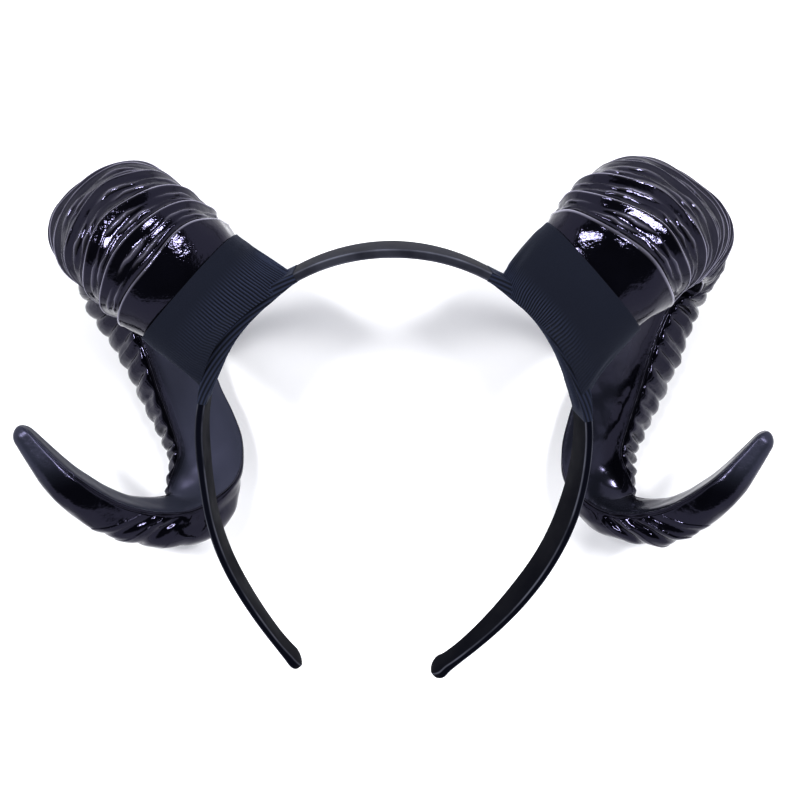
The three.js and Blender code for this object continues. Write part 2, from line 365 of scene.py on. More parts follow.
@dataclass(frozen=True)
class BlackLacquer:
    """Black lacquer over a moulded soft PVC body: wet gloss, softly rippled, crinkled beside its ridges.

    Attributes:
        deep: the body's colour.
        lit: the colour where the lacquer lies thicker.
        painted_light: the grey of the painted highlights along crests, wrinkles and ridges, where thin
            reflections run.
        dust_and_sheen: the grey of the flat faces, which the lacquer only dusts, partly a painted sheen.
        cast: the slight violet cast of its reflections.
        roughness: the roughness of the wet gloss.
        satin: the roughness of the flat faces.
        ripple_mm: the size of the slow ripples in the coat.
        ripple_deep_mm: their depth.
        crinkle_mm: the size of the fine crinkles.
        crinkle_deep_mm: their depth.
        crinkle_least: the share of crinkles on the smooth coat.
    """

    deep: str = "#050509"
    lit: str = "#0b0b13"
    painted_light: str = "#9a98a6"
    dust_and_sheen: str = "#323540"
    cast: str = "#d9d5ff"
    roughness: float = 0.07
    satin: float = 0.42
    ripple_mm: float = 7.0
    ripple_deep_mm: float = 0.6
    crinkle_mm: float = 1.5
    crinkle_deep_mm: float = 0.35
    crinkle_least: float = 0.06

    def material(self) -> bpy.types.Material:
        """Builds the material.

        Returns:
            A dark dielectric whose highlights break up like the photographed coat's.
        """
        # A sprayed film over black gives the eye deep black with small, hard, wet highlights. Crests,
        # wrinkles and ridges carry painted highlights; the flat faces, only dusted by the spray, are satin,
        # grey with dust and painted sheen.
        made = blank_material("sprayed_black_lacquer_on_moulded_pvc")
        place = add_node(made, "ShaderNodeTexCoord").outputs["Object"]
        crinkled, highlit, dull = (
            add_node(made, "ShaderNodeAttribute", attribute_name=mark).outputs["Fac"]
            for mark in ("crinkle", "painted_light", "satin")
        )
        ripple = add_node(
            made, "ShaderNodeTexNoise",
            {"Vector": place, "Scale": 1 / (self.ripple_mm * MM), "Detail": 2.0, "Roughness": 0.45},
        ).outputs["Fac"]
        crinkle = add_node(
            made, "ShaderNodeTexNoise",
            {"Vector": place, "Scale": 1 / (self.crinkle_mm * MM), "Detail": 3.0, "Roughness": 0.6},
        ).outputs["Fac"]
        # Painted highlights grey the crests, wrinkles and ridges; the flat faces' grey is dust and painted
        # sheen.
        colour = linear(self.deep)
        for share, over in ((ripple, self.lit), (dull, self.dust_and_sheen), (highlit, self.painted_light)):
            colour = add_node(
                made, "ShaderNodeMix", {0: share, 6: colour, 7: linear(over)}, data_type="RGBA"
            ).outputs[2]
        gloss = add_node(
            made, "ShaderNodeMapRange",
            {"Value": crinkle, "From Min": 0.3, "From Max": 0.75,
             "To Min": self.roughness * 0.7, "To Max": self.roughness * 1.5},
        ).outputs[0]
        rough = add_node(
            made, "ShaderNodeMix", {0: dull, 2: gloss, 3: self.satin}, data_type="FLOAT"
        ).outputs[0]
        slow = add_node(
            made, "ShaderNodeBump", {"Strength": 0.3, "Distance": self.ripple_deep_mm * MM, "Height": ripple}
        ).outputs[0]
        strength = add_node(
            made, "ShaderNodeMapRange", {"Value": crinkled, "To Min": self.crinkle_least, "To Max": 1.0}
        ).outputs[0]
        fine = add_node(
            made, "ShaderNodeBump",
            {"Strength": strength, "Distance": self.crinkle_deep_mm * MM, "Height": crinkle, "Normal": slow},
        ).outputs[0]
        shader = add_node(
            made, "ShaderNodeBsdfPrincipled",
            {"Base Color": colour, "Roughness": rough, "IOR": 1.5, "Specular Tint": linear(self.cast),
             "Normal": fine},
        )
        add_node(made, "ShaderNodeOutputMaterial", {"Surface": shader.outputs[0]})
        return made


@dataclass(frozen=True)
class SatinAbs:
    """Black ABS, injection moulded in a lightly etched tool: an even satin with a faint grain.

    Attributes:
        deep: the plastic's colour.
        painted_light: the grey of the painted highlight along the eased edges and the painted light over the
            crown.
        roughness: the satin's roughness.
        grain_mm: the etch's grain, drawn coarser than the real one so that it shows.
        grain_deep_mm: the grain's depth.
        wear_mm: the size of the patches that handling leaves.
        cast: the slight violet cast of its reflections.
    """

    deep: str = "#080a14"
    painted_light: str = "#8a8c98"
    roughness: float = 0.6
    grain_mm: float = 0.7
    grain_deep_mm: float = 0.1
    wear_mm: float = 14.0
    cast: str = "#dcd8ff"

    def material(self) -> bpy.types.Material:
        """Builds the material.

        Returns:
            A satin black plastic.
        """
        # The etched tool leaves a fine, even grain, so the eye sees a soft black with no hard highlight.
        made = blank_material("injection_moulded_satin_abs")
        place = add_node(made, "ShaderNodeTexCoord").outputs["Object"]
        grain = add_node(
            made, "ShaderNodeTexNoise", {"Vector": place, "Scale": 1 / (self.grain_mm * MM), "Detail": 2.0}
        ).outputs["Fac"]
        wear = add_node(
            made, "ShaderNodeTexNoise", {"Vector": place, "Scale": 1 / (self.wear_mm * MM), "Detail": 4.0}
        ).outputs["Fac"]
        # Painted highlight along the eased edges and painted light over the crown, broken into patches.
        highlight_share = add_node(made, "ShaderNodeAttribute", attribute_name="painted_light").outputs["Fac"]
        patchy = add_node(
            made, "ShaderNodeMapRange", {"Value": wear, "From Min": 0.2, "From Max": 0.6, "To Max": highlight_share}
        ).outputs[0]
        colour = add_node(
            made, "ShaderNodeMix",
            {0: patchy, 6: linear(self.deep), 7: linear(self.painted_light)}, data_type="RGBA",
        ).outputs[2]
        rough = add_node(
            made, "ShaderNodeMapRange",
            {"Value": wear, "From Min": 0.3, "From Max": 0.7,
             "To Min": self.roughness * 0.85, "To Max": self.roughness * 1.2},
        ).outputs[0]
        bump = add_node(
            made, "ShaderNodeBump", {"Strength": 0.08, "Distance": self.grain_deep_mm * MM, "Height": grain}
        ).outputs[0]
        shader = add_node(
            made, "ShaderNodeBsdfPrincipled",
            {"Base Color": colour, "Roughness": rough, "IOR": 1.53, "Specular IOR Level": 0.04,
             "Specular Tint": linear(self.cast), "Normal": bump},
        )
        add_node(made, "ShaderNodeOutputMaterial", {"Surface": shader.outputs[0]})
        return made


@dataclass(frozen=True)
class RibbedJersey:
    """Navy-black ribbed jersey, knitted and pulled tight: matte, with painted light on the rib tops and
    painted shade in the grooves.

    Attributes:
        groove: the colour between the ribs, a painted shade.
        rib: the colour on the ribs, a painted light.
        plain: the colour where the cloth is stretched smooth.
        fluff: the colour of the fibres' sheen.
        stitch_mm: the knit's stitch, drawn coarser than the real one so that it shows.
        stitch_deep_mm: the stitch's depth.
    """

    groove: str = "#030406"
    rib: str = "#30364a"
    plain: str = "#151926"
    fluff: str = "#5d6478"
    stitch_mm: float = 0.55
    stitch_deep_mm: float = 0.2

    def material(self) -> bpy.types.Material:
        """Builds the material.

        Returns:
            A matte cloth with a soft sheen, coloured by its ribs.
        """
        # Rib knitting gives the eye fine lines, with painted light on the rib tops and painted shade in the
        # grooves, and the fibres a soft, dull sheen.
        made = blank_material("rib_knit_navy_jersey")
        place = add_node(made, "ShaderNodeTexCoord").outputs["Object"]
        stitch = add_node(
            made, "ShaderNodeTexVoronoi", {"Vector": place, "Scale": 1 / (self.stitch_mm * MM)}
        ).outputs["Distance"]
        colour = linear(self.groove)
        for mark, over in (("rib", self.rib), ("stretch", self.plain)):
            share = add_node(made, "ShaderNodeAttribute", attribute_name=mark).outputs["Fac"]
            colour = add_node(
                made, "ShaderNodeMix", {0: share, 6: colour, 7: linear(over)}, data_type="RGBA"
            ).outputs[2]
        bump = add_node(
            made, "ShaderNodeBump",
            {"Strength": 0.35, "Distance": self.stitch_deep_mm * MM, "Height": stitch}, invert=True,
        ).outputs[0]
        shader = add_node(
            made, "ShaderNodeBsdfPrincipled",
            {"Base Color": colour, "Roughness": 0.88, "IOR": 1.45, "Specular IOR Level": 0.25,
             "Sheen Weight": 0.25, "Sheen Roughness": 0.5, "Sheen Tint": linear(self.fluff), "Normal": bump},
        )
        add_node(made, "ShaderNodeOutputMaterial", {"Surface": shader.outputs[0]})
        return made


@dataclass(frozen=True)
class PaleFloor:
    """Matte white table paper, rolled smooth, which gives a clean, nearly shadowless ground.

    Attributes:
        colour: the paper's colour.
        cloudy: its colour where the pulp is thinner.
        pulp_mm: the size of the clouds in the pulp.
    """

    colour: str = "#f5f5f6"
    cloudy: str = "#f2f2f3"
    pulp_mm: float = 12.0

    def material(self) -> bpy.types.Material:
        """Builds the material.

        Returns:
            A matte, faintly clouded white.
        """
        # Rolled pulp scatters light evenly, so the eye sees a flat white with barely visible clouds.
        made = blank_material("rolled_white_table_paper")
        place = add_node(made, "ShaderNodeTexCoord").outputs["Object"]
        cloud = add_node(
            made, "ShaderNodeTexNoise", {"Vector": place, "Scale": 1 / (self.pulp_mm * MM), "Detail": 3.0}
        ).outputs["Fac"]
        colour = add_node(
            made, "ShaderNodeMix",
            {0: cloud, 6: linear(self.colour), 7: linear(self.cloudy)}, data_type="RGBA",
        ).outputs[2]
        shader = add_node(
            made, "ShaderNodeBsdfPrincipled",
            {"Base Color": colour, "Roughness": 0.9, "Specular IOR Level": 0.1},
        )
        add_node(made, "ShaderNodeOutputMaterial", {"Surface": shader.outputs[0]})
        return made


@dataclass
class Hoop:
    """The plastic hoop: a thin flat strip bent to a horseshoe, its plane tipped up from the floor.

    Attributes:
        width: the strip's width at the crown, in mm.
        end_width: its width at the ends.
        thickness: its thickness at the crown.
        end_thickness: its thickness at the ends.
        edge: the radius of its eased edges.
        tip: the angle of its plane above the floor, in degrees.
        crown: how far the crown lies up the plane from the middle.
        middle: the plane's middle point.
        pad_length: how far the thickened grip runs from each end.
        pad_extra: how much thicker the grip is.
        round_length: over how much length each end rounds off.
        round_rings: rings over that length.
        end_close: how nearly the end closes, where one would be a point.
        step: the spacing of its sections.
        corner_points: points on each eased edge.
        edge_growth: how much of a growth all round goes into the edge's radius.
        edge_limit: the most of half the strip that the edge's radius may take.
        edge_highlight: how strong the painted highlight along the eased edges is.
        crown_painted_light: how strong the painted light over the up-facing crown is.
        crown_fade: over which lengths from the crown that dies away.
        waist_length: how far from the end the strip starts to narrow to its waist.
        knob_length: how long the knob at each end is.
        knob: how much of the waist's narrowing the knob takes back.
    """

    width: float = 16.0
    end_width: float = 12.0
    thickness: float = 2.9
    end_thickness: float = 2.4
    edge: float = 0.7
    tip: float = 18.0
    crown: float = 49.2
    middle: tuple[float, float, float] = (-2.4, 0.0, 74.0)
    pad_length: float = 14.0
    pad_extra: float = 0.9
    round_length: float = 5.0
    round_rings: int = 9
    end_close: float = 0.995
    step: float = 1.2
    corner_points: int = 7
    edge_growth: float = 0.6
    edge_limit: float = 0.8
    edge_highlight: float = 0.36
    crown_painted_light: float = 0.14
    crown_fade: Stretch = Stretch(35, 80)
    waist_length: float = 48.0
    knob_length: float = 7.0
    knob: float = 0.6

    def length(self, side: Side) -> float:
        """Adds up the arcs of one leg, in mm."""
        return sum(arc.radius * math.radians(arc.turn) for arc in LEGS[side])

    def place(self, side: Side, s: np.ndarray) -> tuple[np.ndarray, ...]:
        """Follows a leg's arcs from the crown.

        Along an arc of radius r, the heading grows from a to b while x grows by r (sin b - sin a) and
        the height falls by r (cos a - cos b).

        Args:
            side: which leg.
            s: lengths from the crown, in mm.

        Returns:
            Sideways place, height up the plane, heading and roll, the last two in radians.
        """
        x, v, heading = np.zeros_like(s), np.full_like(s, self.crown), np.zeros_like(s)
        twist, left = np.zeros_like(s), s.copy()
        for arc in LEGS[side]:
            turn = math.radians(arc.turn)
            share = np.clip(left / (arc.radius * turn), 0, 1)
            ahead = heading + turn * share
            x += arc.radius * (np.sin(ahead) - np.sin(heading))
            v -= arc.radius * (np.cos(heading) - np.cos(ahead))
            twist += (arc.twist - twist) * share
            heading = ahead
            left = left - arc.radius * turn * share
        return x, v, heading, np.radians(twist)

    def to_floor(self, x: np.ndarray, v: np.ndarray, n: np.ndarray) -> np.ndarray:
        """Turns plane places (sideways, up the plane, out of the front) into the floor's frame.

        Args:
            x: sideways places.
            v: places up the plane.
            n: places out of the plane's front.

        Returns:
            Points in mm, with three in the last axis.
        """
        c, s = math.cos(math.radians(self.tip)), math.sin(math.radians(self.tip))
        return np.stack(
            [self.middle[0] + x, self.middle[1] + v * c - n * s, self.middle[2] + v * s + n * c], axis=-1
        )

    def section(self, side: Side, s: np.ndarray, grow: np.ndarray) -> tuple[np.ndarray, np.ndarray]:
        """Gives the strip's section at each length: a rectangle with rounded corners.

        Each corner is a quarter circle of the edge's radius about a centre set in from the corner.
        The grip thickens the ends, and the width narrows to a waist, widens to a knob, and closes like
        a circle over the last stretch.

        Args:
            side: which leg.
            s: lengths from the crown, in mm.
            grow: how much larger the section is all round, per length.

        Returns:
            Offsets outwards and across, rows by section points.
        """
        length = self.length(side)
        share, to_end = s / length, length - s
        pad = self.pad_extra * smooth(self.pad_length - to_end, 0, self.pad_length)
        close = np.clip(1 - to_end / self.round_length, 0, self.end_close)
        rounding = np.sqrt(1 - close**2)
        narrow = WAISTS[side] * smooth(self.waist_length - to_end, 0, self.waist_length - self.knob_length)
        narrow = narrow * (1 - self.knob * smooth(self.knob_length - to_end, 0, self.knob_length / 2))
        wide = (self.width + (self.end_width - self.width) * share) * (1 - narrow)
        half = rounding * wide / 2 + grow
        flat = self.thickness + (self.end_thickness - self.thickness) * share + pad
        deep = np.sqrt(rounding) * flat / 2 + grow
        most = np.minimum(deep, half) * self.edge_limit
        edge = np.minimum(self.edge + grow * self.edge_growth, most)[:, None]
        corner = np.linspace(0, np.pi / 2, self.corner_points)
        angle = np.concatenate([corner + k * np.pi / 2 for k in range(-1, 3)])
        out_sign = np.repeat([1, 1, -1, -1], self.corner_points)
        across_sign = np.repeat([-1, 1, 1, -1], self.corner_points)
        out = out_sign * (deep[:, None] - edge) + edge * np.cos(angle)
        across = across_sign * (half[:, None] - edge) + edge * np.sin(angle)
        return out, across

    def rings(self, side: Side, s: np.ndarray, out: np.ndarray, across: np.ndarray) -> np.ndarray:
        """Carries section points along a leg, square to its line and rolled by its twist.

        Args:
            side: which leg.
            s: lengths from the crown, in mm.
            out: offsets away from the hoop's inside, rows by points.
            across: offsets towards the hoop's front, rows by points.

        Returns:
            Points in mm, rows by points by three.
        """
        x, v, heading, twist = (part[:, None] for part in self.place(side, s))
        far = out * np.cos(twist) - across * np.sin(twist)
        front = out * np.sin(twist) + across * np.cos(twist)
        return self.to_floor(side.value * (x + far * np.sin(heading)), v + far * np.cos(heading), front)

    def stations(self, side: Side) -> np.ndarray:
        """Chooses where one leg's rings lie, closer together at its rounded end.

        Args:
            side: which leg.

        Returns:
            Lengths from the crown, in mm.
        """
        length = self.length(side)
        even = np.arange(0, length - self.round_length, self.step)
        turn = np.linspace(0, np.pi / 2, self.round_rings)
        return np.concatenate([even, length - self.round_length * (1 - np.sin(turn))])

    def leg(self, side: Side, s: np.ndarray) -> np.ndarray:
        """Builds one leg's rings at lengths s from the crown."""
        out, across = self.section(side, s, np.zeros_like(s))
        return self.rings(side, s, out, across)

    def painted_light(self, s: np.ndarray) -> np.ndarray:
        """Marks the painted highlight along the eased edges, and the painted light over the crown.

        Each edge's mark is the squared sine across its quarter circle, and the crown's dies away along
        the legs.

        Args:
            s: lengths from the crown, in mm.

        Returns:
            Shares from 0 to 1, rows by section points.
        """
        edge = np.tile(np.sin(np.linspace(0, np.pi, self.corner_points)) ** 2, 4)
        return self.edge_highlight * edge[None] + self.crown_painted_light * self.crown_fade.fall(s)[:, None]

    def build(self, finish: SatinAbs) -> bpy.types.Object:
        """Builds and dresses the hoop.

        Args:
            finish: the plastic.

        Returns:
            The hoop, riding on the root body in place of the CAD band.
        """
        s_left, s_right = self.stations(Side.LEFT), self.stations(Side.RIGHT)
        left, right = self.leg(Side.LEFT, s_left), self.leg(Side.RIGHT, s_right)
        # Painted highlight along the eased edges and painted light over the crown.
        painted_light = self.painted_light(np.concatenate([s_left[:0:-1], s_right]))
        skin = Skin(np.concatenate([left[:0:-1], right]), marks={"painted_light": painted_light.ravel()})
        piece = make_piece("hoop", [skin])
        piece.data.materials.append(finish.material())
        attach(piece, "root")
        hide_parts("band")
        return piece


@dataclass
class HornLine:
    """The right horn's centreline with its frame: a smooth curve through the short table of stations.

    Attributes:
        samples: how many places are worked out along it; what lies between is linear.
        s: the lengths of those places from its start, in mm.
        length: its whole length.
        columns: at each place the centre, the three axes, half the width and the depth.
    """

    samples: int = 4000
    s: np.ndarray = field(init=False)
    length: float = field(init=False)
    columns: np.ndarray = field(init=False)

    def __post_init__(self) -> None:
        """Works out the length, and at each sample the centre, axes, half width and depth."""
        table = np.array(HORN_ROWS)
        u = np.linspace(0, len(table) - 1, self.samples)
        values = spline(table, u)
        centre = values[:, :3]
        steps = np.linalg.norm(np.diff(centre, axis=0), axis=1)
        self.s = np.concatenate([[0], np.cumsum(steps)])
        self.length = float(self.s[-1])
        along = unit(np.gradient(centre, self.s, axis=0))
        face = values[:, 5:8]
        face = unit(face - along * np.sum(face * along, axis=1, keepdims=True))
        ridge = np.cross(face, along)
        self.columns = np.hstack([centre, along, face, ridge, values[:, 3:4] / 2, values[:, 4:5]])

    def at(self, s: np.ndarray) -> tuple[np.ndarray, ...]:
        """Reads the frame at any lengths.

        Args:
            s: lengths along the horn, of any shape, in mm.

        Returns:
            Centre, along, face and ridge vectors, then half width and depth.
        """
        flat = np.clip(s, 0, self.length).ravel()
        read = np.stack([np.interp(flat, self.s, column) for column in self.columns.T], axis=-1)
        read = read.reshape(*s.shape, -1)
        return read[..., 0:3], read[..., 3:6], read[..., 6:9], read[..., 9:12], read[..., 12], read[..., 13]


@dataclass(frozen=True)
class Zones:
    """Where a horn changes along its length: each is a stretch in mm from its start.

    Attributes:
        rope_pitch: the rings take their length beyond the top of the curl.
        roped: the rings turn from stepped ones to pillows.
        last_long: the rings before the tip grow longer.
        last_bold: they stand up further.
        tip_bow: they bow further.
        skew_gone: the skew of the first rings dies away.
        swell_in: the inner ridge swells out round the top of the curl.
        swell_out: that swell ends.
        trim_in: the inner edge is drawn in beside the rope.
        trim_out: that trim ends.
        plain_in: the rings leave the inner side.
        plain_out: they come back to it.
        beyond_top: the groove and the satin face begin, and the painted highlight along the ridges ends.
        press_in: the first press of the back begins.
        press_half: the second press takes over from it.
        press_out: the second press ends.
        corner_in: the turn before the tip begins.
        corner_out: that turn ends.
    """

    rope_pitch: Stretch = Stretch(70, 110)
    roped: Stretch = Stretch(70, 100)
    last_long: Stretch = Stretch(190, 210)
    last_bold: Stretch = Stretch(192, 212)
    tip_bow: Stretch = Stretch(190, 235)
    skew_gone: Stretch = Stretch(40, 120)
    swell_in: Stretch = Stretch(25, 45)
    swell_out: Stretch = Stretch(75, 105)
    trim_in: Stretch = Stretch(125, 150)
    trim_out: Stretch = Stretch(175, 195)
    plain_in: Stretch = Stretch(105, 135)
    plain_out: Stretch = Stretch(215, 240)
    beyond_top: Stretch = Stretch(95, 120)
    press_in: Stretch = Stretch(85, 110)
    press_half: Stretch = Stretch(130, 155)
    press_out: Stretch = Stretch(185, 210)
    corner_in: Stretch = Stretch(185, 205)
    corner_out: Stretch = Stretch(225, 245)


@dataclass(frozen=True)
class Rings:
    """How a horn's rings are laid along it and how far they stand up, in mm or as shares.

    Attributes:
        pitch: the rings' length near the root.
        rope_pitch: their length beyond the top of the curl.
        longer: how much longer the last ones are.
        uneven: how much their lengths vary.
        uneven_step: how fast their lengths vary from ring to ring, in radians.
        rows: rows of points on each ring near the root.
        rope_rows: rows of points on each ring beyond the top of the curl.
        root_rows: rows before the first ring.
        plain_rows: rows between the last ring and the tip.
        relief: how far the first rings stand up.
        base: the share of a ring's height that lies below the horn's own outline.
        bolder: how much further the last ones stand up.
        dying: over which share of the rings, at the end, they die away.
        varied: how much their heights vary.
        varied_step: how fast their heights vary from ring to ring, in radians.
        pillow: the power of a rope ring's fall from its crest.
        lip: the height of the thin lip at each ring's start.
        lip_width: that lip's width.
        rope_lip: how much of the lip is left beyond the top of the curl.
        root_swell: how far the back swells up to the first ring, in reliefs.
        root_sink: how far below the outline it starts, in reliefs.
        root_reach: over which stretch about the first ring's start it swells.
        wrinkle: how far the wrinkles stand up, in reliefs.
        wrinkle_width: a wrinkle's width as a share of a ring.
        wrinkle_base: how patchy a wrinkle is where it lies on the outline.
        patchy: how patchy the wrinkles are on average.
        bow: how far the rings bow towards the tip in the middle of the back.
        tip_bow: the same near the tip.
    """

    pitch: float = 5.9
    rope_pitch: float = 7.2
    longer: float = 0.25
    uneven: float = 0.1
    uneven_step: float = 2.4
    rows: int = 22
    rope_rows: int = 12
    root_rows: int = 36
    plain_rows: int = 60
    relief: float = 1.6
    base: float = 0.75
    bolder: float = 0.9
    dying: float = 0.1
    varied: float = 0.15
    varied_step: float = 1.7
    pillow: float = 2.6
    lip: float = 0.3
    lip_width: float = 0.26
    rope_lip: float = 0.3
    root_swell: float = 0.7
    root_sink: float = 0.4
    root_reach: Stretch = Stretch(-9, 1)
    wrinkle: float = 0.5
    wrinkle_width: float = 0.06
    wrinkle_base: float = 0.6
    patchy: float = 0.45
    bow: float = 5.0
    tip_bow: float = 12.0


@dataclass(frozen=True)
class Wear:
    """How the marks on a horn's coat are laid, with angles past the ridge in radians.

    Attributes:
        crinkle_at: the angle past the ridge at which the coat is most crinkled.
        crinkle_width: how wide that crinkled band is.
        crinkle_least: the least share of crinkle along that band.
        crinkle_wave: how the band comes and goes, in mm to a radian.
        crinkle_rings: the crinkle on the rings.
        back_highlight: how strong the painted highlight on the crests is in the middle of the back.
        side_highlight: towards which sine of the angle the crests' painted highlight is full.
        crest_power: how narrow the painted highlight line on a crest is.
        line_power: how narrow the painted highlight lines on wrinkles and ridges are.
        wrinkle_highlight: how strong the painted highlight on the wrinkles is.
        satin_edge: where the satin ends past the ridge.
        satin_blur: how softly it ends across the face, as a sine.
        satin_tip: how satin the tip is.
        satin_from: how far from the tip that begins and is complete, in mm.
    """

    crinkle_at: float = -0.06
    crinkle_width: float = 0.07
    crinkle_least: float = 0.4
    crinkle_wave: float = 11.0
    crinkle_rings: float = 0.25
    back_highlight: float = 0.35
    side_highlight: Stretch = Stretch(0.3, 0.9)
    crest_power: int = 5
    line_power: int = 4
    wrinkle_highlight: float = 0.45
    satin_edge: Stretch = Stretch(-0.05, 0.02)
    satin_blur: float = 0.15
    satin_tip: float = 0.7
    satin_from: tuple[float, float] = (30.0, 10.0)


@dataclass
class Horn:
    """One curled horn: a D-section with a ringed back and a smooth flat face between two ridges.

    Attributes:
        side: which side it is on.
        shift: how far it is set outwards, in mm.
        lean: its sideways slant in degrees, about lean_height.
        first_ring: where the first ring starts on the ridges.
        skew: how far the first rings reach on towards the tip at the outer ridge.
        tip_shift: how far the tip is moved outwards and towards the crown.
        inner_swell: how much further the inner ridge stands out round the top of the curl.
        press: how far the back is pressed in sideways, along the rope's first half and its second.
        corner: how far the back of the turn before the tip is moved outwards and towards the crown.
        inner_trim: how far the flat face's inner edge is drawn in beside the rope's second half.
        flat_dust_and_sheen: how far the flat face is satin and painted the grey of dust and sheen, from 0 to
            1.
        dust_and_sheen_to: how far across towards the outer ridge the satin and its painted sheen go, as the
            sine of its angle.
        rings: how the rings are laid.
        zones: where it changes along its length.
        wear: how its coat is marked.
        lean_height: the height that the slant leaves in place.
        inner_share: the share of the depth on the flat face's side of the centreline.
        squareness: the power that makes the flat face's side boxy; smaller is sharper.
        fullness: the same for the back, where one would be an ellipse.
        hollow: how far the flat face is dished, as a share of the depth.
        root: where the horn starts under its wrap.
        smooth_tip: how much of the tip has no rings.
        tip_calm: how far from the tip the rings' bow starts to die away.
        tip_fade: over which stretch from the tip the coat's unevenness comes in.
        tip_shift_from: where the tip's shift begins.
        tip_round: over how much length the tip rounds off.
        tip_rows: rows of points on the rounded tip.
        tip_turn: how far round its quarter circle the tip goes, as a share of a half turn.
        tip_flat: the last section's share of the horn's section.
        back_from: the cosine of the angle from which a ring bows.
        inner_side: which sines of the angle are the inner side, without rings beside the rope.
        ring_fade: the angles past the ridge over which the rings come up.
        bead: the height of the moulding line along each ridge.
        bead_width: that line's width in radians.
        groove: the depth of the groove outside each ridge beyond the top of the curl.
        groove_at: the groove's angle past the ridge.
        groove_width: its width in radians.
        full_half: the half width below which these details shrink.
        face_uneven: how much of the back's unevenness the flat face has.
        back_uneven: the angles past the ridge over which the unevenness grows.
        columns: points round the section.
        usual: half the width and the depth of the section that the points are spread on.
        ridge_points: how many times more points the ridges get.
        ridge_reach: over which angle about a ridge they are spread.
        line: its centreline.
    """

    side: Side
    shift: float
    lean: float
    first_ring: float
    skew: float
    tip_shift: tuple[float, float]
    press: tuple[float, float]
    corner: tuple[float, float]
    inner_swell: float = 0.0
    inner_trim: float = 0.0
    flat_dust_and_sheen: float = 1.0
    dust_and_sheen_to: float = 0.62
    rings: Rings = Rings()
    zones: Zones = Zones()
    wear: Wear = Wear()
    lean_height: float = 65.0
    inner_share: float = 0.4
    squareness: float = 0.4
    fullness: float = 0.82
    hollow: float = 0.02
    root: float = 9.0
    smooth_tip: float = 44.0
    tip_calm: float = 50.0
    tip_fade: Stretch = Stretch(2, 30)
    tip_shift_from: float = 200.0
    tip_round: float = 4.0
    tip_rows: int = 14
    tip_turn: float = 0.47
    tip_flat: float = 0.02
    back_from: float = 0.7
    inner_side: Stretch = Stretch(-0.7, 0.1)
    ring_fade: Stretch = Stretch(0.06, 0.3)
    bead: float = 0.4
    bead_width: float = 0.032
    groove: float = 0.8
    groove_at: float = 0.08
    groove_width: float = 0.035
    full_half: float = 12.0
    face_uneven: float = 0.35
    back_uneven: Stretch = Stretch(0.06, 0.4)
    columns: int = 150
    usual: tuple[float, float] = (17.0, 27.0)
    ridge_points: float = 2.5
    ridge_reach: float = 0.07
    line: HornLine = field(default_factory=HornLine)

    def placed(self, points: np.ndarray) -> np.ndarray:
        """Carries points of the right horn to this side: mirrored, set out and slanted.

        Args:
            points: points of the right horn, in mm.

        Returns:
            The same points on this side.
        """
        middle = Hoop.middle[0]
        slant = (self.lean_height - points[..., 2]) * math.tan(math.radians(self.lean))
        x = middle + self.side.value * (points[..., 0] - middle + self.shift) + slant
        return np.stack([x, points[..., 1], points[..., 2]], axis=-1)

    def past_ridge(self, angle: np.ndarray) -> np.ndarray:
        """Measures angles beyond the nearer ridge, positive on the back and negative on the face."""
        return np.minimum(angle, 2 * np.pi - angle) - np.pi / 4

    def outline(
        self, angle: np.ndarray, half: np.ndarray | float, depth: np.ndarray | float
    ) -> tuple[np.ndarray, np.ndarray]:
        """Gives the D-section: a full superellipse on the back, and a boxier one on the face's side.

        A circle's point is moved out by one over the n-norm of its cosine and sine, with n two over the
        fullness on the back and two over the squareness on the face's side. The face is dished by a
        parabola between the ridges.

        Args:
            angle: angles from the flat face's middle.
            half: half the ridge-to-ridge width.
            depth: the full depth.

        Returns:
            Offsets towards the flat face and towards the outer ridge, in mm.
        """
        c, d = np.cos(angle), np.sin(angle)
        power = np.where(c > 0, self.squareness, self.fullness)
        share = np.where(c > 0, self.inner_share, 1 - self.inner_share)
        reach = (np.abs(c) ** (2 / power) + np.abs(d) ** (2 / power)) ** (-power / 2)
        dish = self.hollow * np.clip(1 - 2 * d**2, 0, 1) * (c > 0)
        return (c * reach * share - dish) * depth, d * reach * half

    def spread(self, columns: int, half: float, depth: float, extra: float) -> np.ndarray:
        """Spreads section points evenly along the outline, with more of them at the two ridges.

        Args:
            columns: how many points go round.
            half: half the section's ridge-to-ridge width.
            depth: its depth.
            extra: how many times more points the ridges get.

        Returns:
            Angles from the flat face's middle, in radians.
        """
        dense = np.linspace(0, 2 * np.pi, FINE_STEPS + 1)
        reach, rise = self.outline(dense, half, depth)
        steps = np.hypot(np.diff(reach), np.diff(rise))
        past = self.past_ridge((dense[1:] + dense[:-1]) / 2)
        weight = steps * (1 + extra * bell(past, 0, self.ridge_reach))
        total = np.concatenate([[0], np.cumsum(weight)])
        return np.interp(np.linspace(0, total[-1], columns, endpoint=False), total, dense)

    def ring_starts(self) -> np.ndarray:
        """Lays the rings one after another with a slight hand-made unevenness.

        Returns:
            Where each ring starts, and where the last one ends, in mm.
        """
        rings = self.rings
        starts = [self.first_ring]
        while starts[-1] < self.line.length - self.smooth_tip:
            here = starts[-1]
            uneven = 1 + rings.uneven * math.sin(rings.uneven_step * len(starts) + self.side.value)
            pitch = rings.pitch + (rings.rope_pitch - rings.pitch) * float(self.zones.rope_pitch.rise(here))
            longer = 1 + rings.longer * float(self.zones.last_long.rise(here))
            starts.append(here + pitch * longer * uneven)
        return np.array(starts)

